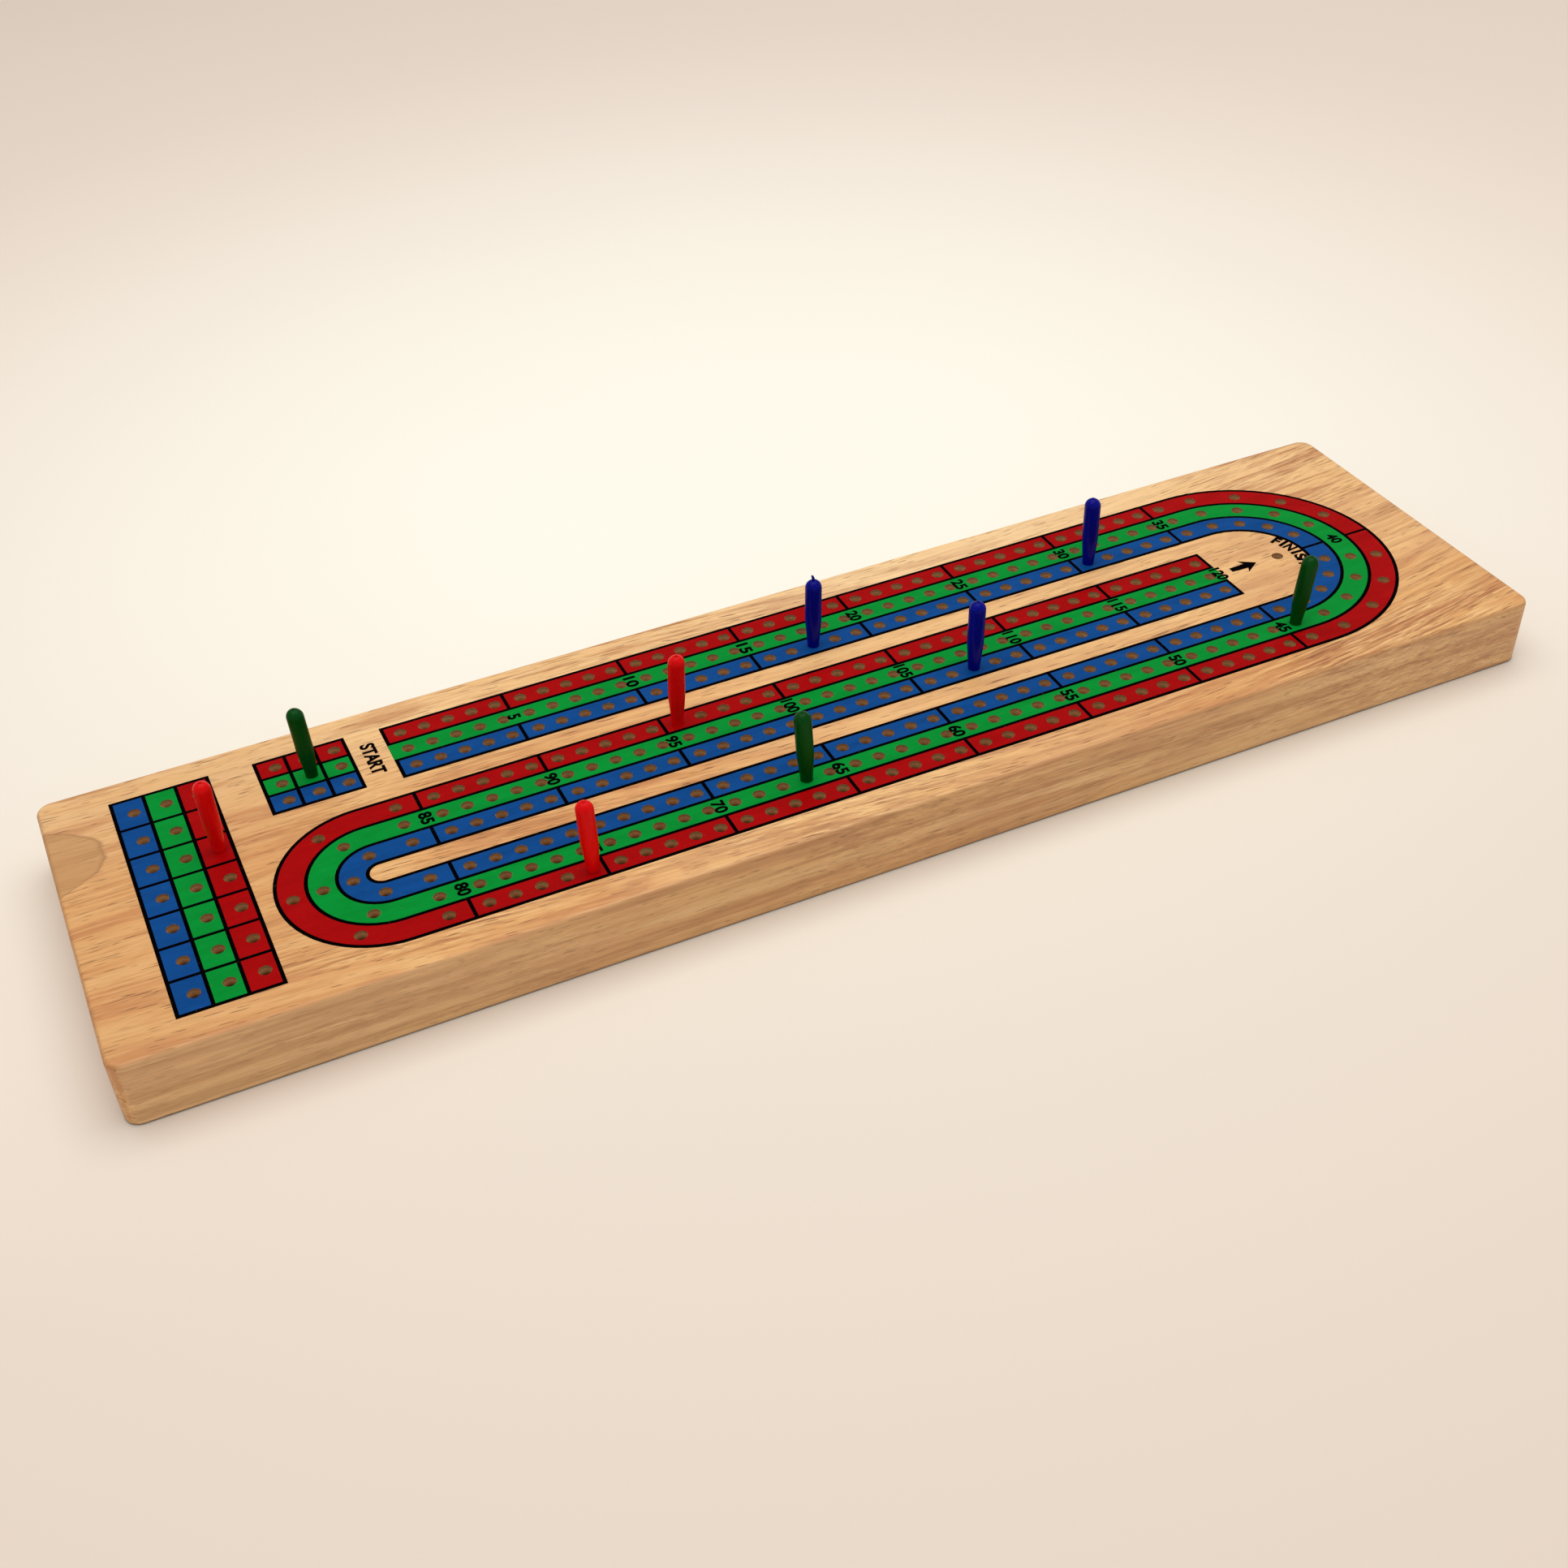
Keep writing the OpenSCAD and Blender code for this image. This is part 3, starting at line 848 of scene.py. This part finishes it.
def peg_profile(radius, height):
    """Radius against height above the board, from the tip to the top of the dome."""
    points = [(0.0, -SHANK_L), (TIP_R * 0.7, -SHANK_L), (TIP_R, -SHANK_L + 0.12 * MM),
              (SHANK_R, -SHANK_L + 0.8 * MM), (SHANK_R, -4 * MM), (SHANK_R, -0.05 * MM)]
    taper_steps, straight_steps, dome_steps = 8, 4, 12
    for step in range(1, taper_steps + 1):
        t = step / taper_steps
        points.append((SHANK_R + (radius - SHANK_R) * t, TAPER_H * t))
    straight = height - radius
    for step in range(1, straight_steps + 1):
        points.append((radius, TAPER_H + (straight - TAPER_H) * step / straight_steps))
    for step in range(1, dome_steps):
        angle = math.radians(90 * step / dome_steps)
        points.append((radius * math.cos(angle), straight + radius * math.sin(angle)))
    points.append((0.0, height))
    return points


def make_peg(name, material):
    """One moulded peg: the CAD peg's box, with a parting seam, shallow dents, a lean and a torn gate."""
    low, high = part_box(name)
    gate_h = LONG_GATES.get(name, GATE_H)
    radius = (high.x - low.x) / 2
    height = high.z - board_top - gate_h
    centre = (low + high) / 2
    chance = random.Random(name)
    seam_turn = chance.uniform(0, math.pi)
    lean = LEAN_TO * LEANS.get(name, 0) * MM
    data = bmesh.new()
    around = 48
    seam = 0.008 * MM
    seam_width = 0.2
    seam_from = 0.3 * MM
    dent_depth = 0.02 * MM
    dents_per_mm = 0.15
    bend = 1.3
    rings = []
    for r, z in peg_profile(radius - seam, height):
        ring = []
        middle = centre.xy + lean * (max(z, 0) / height) ** bend
        for i in range(around):
            angle = 2 * math.pi * i / around
            off = abs(math.sin(angle - seam_turn))
            ridge = seam * max(0.0, 1 - off / seam_width) if z > seam_from else 0.0
            up = z / MM * dents_per_mm + len(name)
            dent = noise.noise(Vector((math.cos(angle), math.sin(angle), up)))
            reach = r + ridge - (dent_depth * abs(dent) if r > 0 else 0)
            ring.append((middle.x + reach * math.cos(angle), middle.y + reach * math.sin(angle),
                         board_top + z))
        rings.append(ring)
    shell(data, rings)
    gate_stub(data, centre.xy + lean, board_top + height, gate_h, chance)
    return new_piece(name + "_moulded", data, name, [material], [name])


def shell(data, rings):
    """A closed skin over rings of points; the first and the last ring shrink to one point each."""
    first = data.verts.new(mean_point(rings[0]))
    last = data.verts.new(mean_point(rings[-1]))
    loops = [[data.verts.new(p) for p in ring] for ring in rings[1:-1]]
    count = len(loops[0])
    for i in range(count):
        j = (i + 1) % count
        data.faces.new((first, loops[0][j], loops[0][i])).smooth = True
        data.faces.new((last, loops[-1][i], loops[-1][j])).smooth = True
    for lower, upper in zip(loops, loops[1:]):
        bridge(data, lower, upper)


def mean_point(ring):
    return [sum(axis) / len(ring) for axis in zip(*ring)]


def gate_stub(data, centre, top_z, height, chance):
    """The torn stub where the peg was twisted off its runner; a tall one leans over."""
    around = 14
    steps = 7
    bury = 0.35 * MM
    foot_w = 0.52 * MM
    tip_w = 0.26 * MM
    closing = 0.45
    ragged = 0.22
    torn = 0.12 * MM
    lean = Vector((-0.14, 0.04)) * (height / MM) ** 2 * MM
    rings = []
    for step in range(steps + 1):
        t = step / steps
        z = top_z - bury + (height + bury) * t
        width = foot_w + (tip_w - foot_w) * t
        if step == steps:
            width *= closing
        middle = centre + lean * t * t
        ring = []
        for i in range(around):
            angle = 2 * math.pi * i / around
            reach = width * (1 + ragged * chance.uniform(-1, 1) * t)
            drop = torn * chance.random() * t if step >= steps - 1 else 0
            ring.append((middle.x + reach * math.cos(angle), middle.y + reach * math.sin(angle), z - drop))
        rings.append(ring)
    tip = mean_point(rings[-1])
    shell(data, [rings[0]] + rings + [[tip] * around])


def make_pegs():
    plastics = {
        "red": peg_plastic("red_peg_plastic", srgb(222, 8, 10), srgb(208, 4, 6), glow=0.25),
        "green": peg_plastic("green_peg_plastic", srgb(0, 70, 14), srgb(0, 58, 10), glow=0.08),
        "blue": peg_plastic("blue_peg_plastic", srgb(2, 8, 132), srgb(2, 4, 112), glow=0.08),
    }
    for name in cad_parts:
        if name.endswith("_peg"):
            make_peg(name, plastics[name.split("_")[0]])


# ---------------------------------------------------------------- the cover

def make_cover():
    """A stamped steel plate with eased edges and a finger hole."""
    data = bmesh.new()
    ease = 0.12 * MM
    radius = 2 * MM
    corner_steps, hole_steps = 6, 40
    size = cover_high - cover_low
    finger = (cover_low.x + COVER_LAP + 2 * FINGER_R, cover_centre.y)
    levels = [(ease, cover_low.z), (0, cover_low.z + ease), (0, cover_high.z - ease), (ease, cover_high.z)]
    outer = []
    inner = []
    for inset, z in levels:
        outline = rounded_outline(size.x - 2 * inset, size.y - 2 * inset, radius - inset, corner_steps,
                                  cover_centre.xy)
        outer.append(add_ring(data, outline, z))
        inner.append(add_ring(data, circle_points(finger, FINGER_R + inset, hole_steps), z))
    for lower, upper in zip(outer, outer[1:]):
        bridge(data, lower, upper)
    for lower, upper in zip(inner, inner[1:]):
        bridge(data, upper, lower)
    fill_plane(data, [outer[-1], inner[-1]], up=True)
    fill_plane(data, [outer[0], inner[0]], up=False)
    return new_piece("sliding_cover", data, "storage_cover", [sheet_steel()],
                     ["storage_cover"])


# ---------------------------------------------------------------- studio

def make_floor():
    """A wide pale table that curves up far behind the board."""
    data = bmesh.new()
    reach = 2.2
    back = 2.4
    lift = 1.2
    bend = 16
    profile = [(-reach, 0.0), (back, 0.0)]
    for step in range(1, bend + 1):
        angle = math.radians(90 * step / bend)
        profile.append((back + lift * math.sin(angle), lift * (1 - math.cos(angle))))
    rows = [[data.verts.new((x, y, z)) for x in (-2 * reach, 2 * reach)] for y, z in profile]
    for near, far in zip(rows, rows[1:]):
        data.faces.new((near[0], near[1], far[1], far[0])).smooth = True
    mesh = bpy.data.meshes.new("table_top")
    data.to_mesh(mesh)
    data.free()
    mesh.materials.append(table_top())
    floor = bpy.data.objects.new("table_top", mesh)
    bpy.context.scene.collection.objects.link(floor)


def area_light(name, place, target, size, power, colour):
    light = bpy.data.lights.new(name, "AREA")
    light.shape = "RECTANGLE"
    light.size, light.size_y = size
    light.energy = power
    light.color = colour
    holder = bpy.data.objects.new(name, light)
    holder.location = place
    aim = Vector(target) - Vector(place)
    holder.rotation_euler = aim.to_track_quat("-Z", "Y").to_euler()
    bpy.context.scene.collection.objects.link(holder)


def make_lights():
    world = bpy.data.worlds.new("studio")
    world.use_nodes = True
    background = world.node_tree.nodes["Background"]
    background.inputs["Color"].default_value = (1.0, 0.975, 0.945, 1)
    background.inputs["Strength"].default_value = 0.62
    bpy.context.scene.world = world
    area_light("overhead", (0.05, 0.12, 0.95), (0.05, 0.08, 0), (1.1, 0.8), 5.7, (1.0, 0.98, 0.945))


def make_camera():
    """The photograph's own view: from the front left, looking down."""
    camera = bpy.data.cameras.new("camera")
    camera.sensor_width = 36
    camera.lens = 44.37
    camera.shift_x = 0.0288
    camera.shift_y = 0.0587
    camera.clip_start = 0.01
    camera.clip_end = 20
    holder = bpy.data.objects.new("camera", camera)
    holder.location = (-0.1665, -0.3637, 0.3139)
    holder.rotation_euler = Euler([math.radians(a) for a in (48.40, 2.74, -24.02)])
    bpy.context.scene.collection.objects.link(holder)
    bpy.context.scene.camera = holder


make_camera()
make_lights()
make_floor()
make_board()
black = paint_print()
street_numbers(black)
words_and_arrow(black)
make_pegs()
make_cover()
bpy.context.scene.view_settings.view_transform = "Standard"
